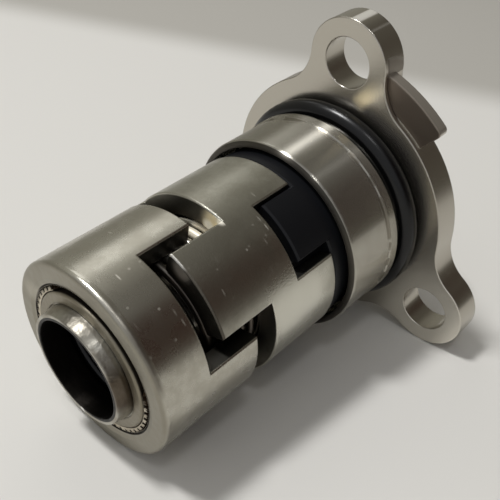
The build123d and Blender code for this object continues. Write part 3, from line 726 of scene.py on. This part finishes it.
# The peened rim: the housing's mouth, hammered in over the sleeve's shoulder with a toothed
# punch. On two sides it closes the gap, and the valleys between its teeth are painted dark as
# shade. Between, the gap stays open. A ring of oval section follows the shoulder and sinks where
# the gap is open.
RIM_R = 11.57
RIM_HALF_WIDTH = 0.46
RIM_HALF_HEIGHT = 0.4
RIM_HEIGHT = 2.63
RIM_TEETH = 150
RIM_OPEN_AT = 203                       # the middle of the open side, in degrees
RIM_CLOSED_BELOW = 0.5                  # cosine of the turn from that middle
RIM_OPEN_ABOVE = 0.8                    # the same
RIM_SINKS = 2.2
RIM_BITE = 0.8                          # depth of the teeth, as a share of the half height
RIM_CRUMBS = 0.35                       # roughness left by the punch, as a share of it too
CRUMBS_A_RADIAN = 25.0
SHADED_EVERY = 3                       # valleys, as finer marks of painted shade would not show
STEPS_A_TOOTH = 6
STEPS_ROUND_SECTION = 14

peened, tree, shader, turned, height, radius = steel(
    "peened_stainless_rim", "#D6CEBD", "#B2A896",
    roughness=0.35, spread=0.05, smudge=1.5, lathe_shine=0.0)
# Painted shade: the ring's deeper back half, where it sinks and where the teeth bite, is painted
# dark.
in_valleys = fade(tree, height, RIM_HEIGHT - 0.21, RIM_HEIGHT - 0.13)
lay(tree, shader, "#1C140D", 0.5, 1.0, 1.0, in_valleys)
# Painted shade: a dark brown patch low on one side.
lay(tree, shader, "#33281D", 0.5, 1.0, 0.85, near(tree, on_seal(RIM_R, 257, 2.4), 1.5, 3.2))
# Painted shade in every third valley between the teeth.
spot = add_node(tree, "ShaderNodeSeparateXYZ", {}, {0: turned})
marks = formula(tree, (
    "SINE", ("MULTIPLY", ("ARCTAN2", spot.outputs["Y"], spot.outputs["X"]),
             RIM_TEETH / SHADED_EVERY)))
on_teeth = fade(tree, radius, RIM_R - 0.22, RIM_R - 0.12)
lay(tree, shader, "#1C140D", 0.5, 1.0, 1.0, fade(tree, marks, 0.0, 0.4), on_teeth)

settings = {
    "Rim Radius": RIM_R * MM, "Half Width": RIM_HALF_WIDTH * MM,
    "Half Height": RIM_HALF_HEIGHT * MM, "Height": RIM_HEIGHT * MM,
    "Teeth": float(RIM_TEETH), "Open At": math.radians(RIM_OPEN_AT), "Sinks": RIM_SINKS * MM,
}
ticks, (rim_r, half_width, half_height, rim_height, teeth, open_at, sinks) = new_form(
    "toothed_rim", settings)
sheet = add_node(ticks, "GeometryNodeMeshGrid", {
    "Size X": 2 * math.pi, "Size Y": 2 * math.pi,
    "Vertices X": STEPS_A_TOOTH * RIM_TEETH + 1, "Vertices Y": STEPS_ROUND_SECTION + 1})
sheet_place = add_node(ticks, "GeometryNodeInputPosition").outputs[0]
spread = add_node(ticks, "ShaderNodeSeparateXYZ", {}, {0: sheet_place})
angle = spread.outputs["X"]
out = formula(ticks, ("COSINE", spread.outputs["Y"]))
back = formula(ticks, ("SINE", spread.outputs["Y"]))
on_outer_half = add_node(ticks, "ShaderNodeMapRange", {"From Min": -0.2, "From Max": 0.1}, {
    "Value": out}).outputs["Result"]
is_open = add_node(ticks, "ShaderNodeMapRange", {
    "interpolation_type": "SMOOTHSTEP",
    "From Min": RIM_CLOSED_BELOW, "From Max": RIM_OPEN_ABOVE,
}, {"Value": formula(ticks, ("COSINE", ("SUBTRACT", angle, open_at)))}).outputs["Result"]
crumbs = add_node(ticks, "ShaderNodeTexNoise", {
    "noise_dimensions": "1D", "Scale": CRUMBS_A_RADIAN, "Detail": 2.0}, {"W": angle})
tooth = ("MULTIPLY_ADD", ("SINE", ("MULTIPLY", angle, teeth)), 0.5, 0.5)
bite = ("MULTIPLY", ("MULTIPLY", tooth, on_outer_half), ("MULTIPLY", half_height, RIM_BITE))
rough = (
    "MULTIPLY", ("MULTIPLY", crumbs.outputs["Fac"], ("MULTIPLY", half_height, RIM_CRUMBS)),
    ("SUBTRACT", 1.0, is_open))
oval = ("ADD", rim_height, ("MULTIPLY", back, half_height))
rim_back = ("ADD", ("ADD", oval, ("MULTIPLY", is_open, sinks)), ("ADD", bite, rough))
away = formula(ticks, ("ADD", rim_r, ("MULTIPLY", out, half_width)))
place = add_node(ticks, "ShaderNodeCombineXYZ", {}, {
    "X": formula(ticks, ("MULTIPLY", ("COSINE", angle), away)),
    "Y": formula(ticks, ("MULTIPLY", ("SINE", angle), away)),
    "Z": formula(ticks, rim_back)})
ring = add_node(ticks, "GeometryNodeSetPosition", {}, {
    "Geometry": sheet.outputs["Mesh"], "Position": place.outputs[0]})
joined = add_node(ticks, "GeometryNodeMergeByDistance", {"Distance": 0.001 * MM}, {
    "Geometry": ring.outputs[0]})

rim = grown("peened_rim", ticks, joined.outputs[0], peened, settings)
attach(rim, "sleeve")
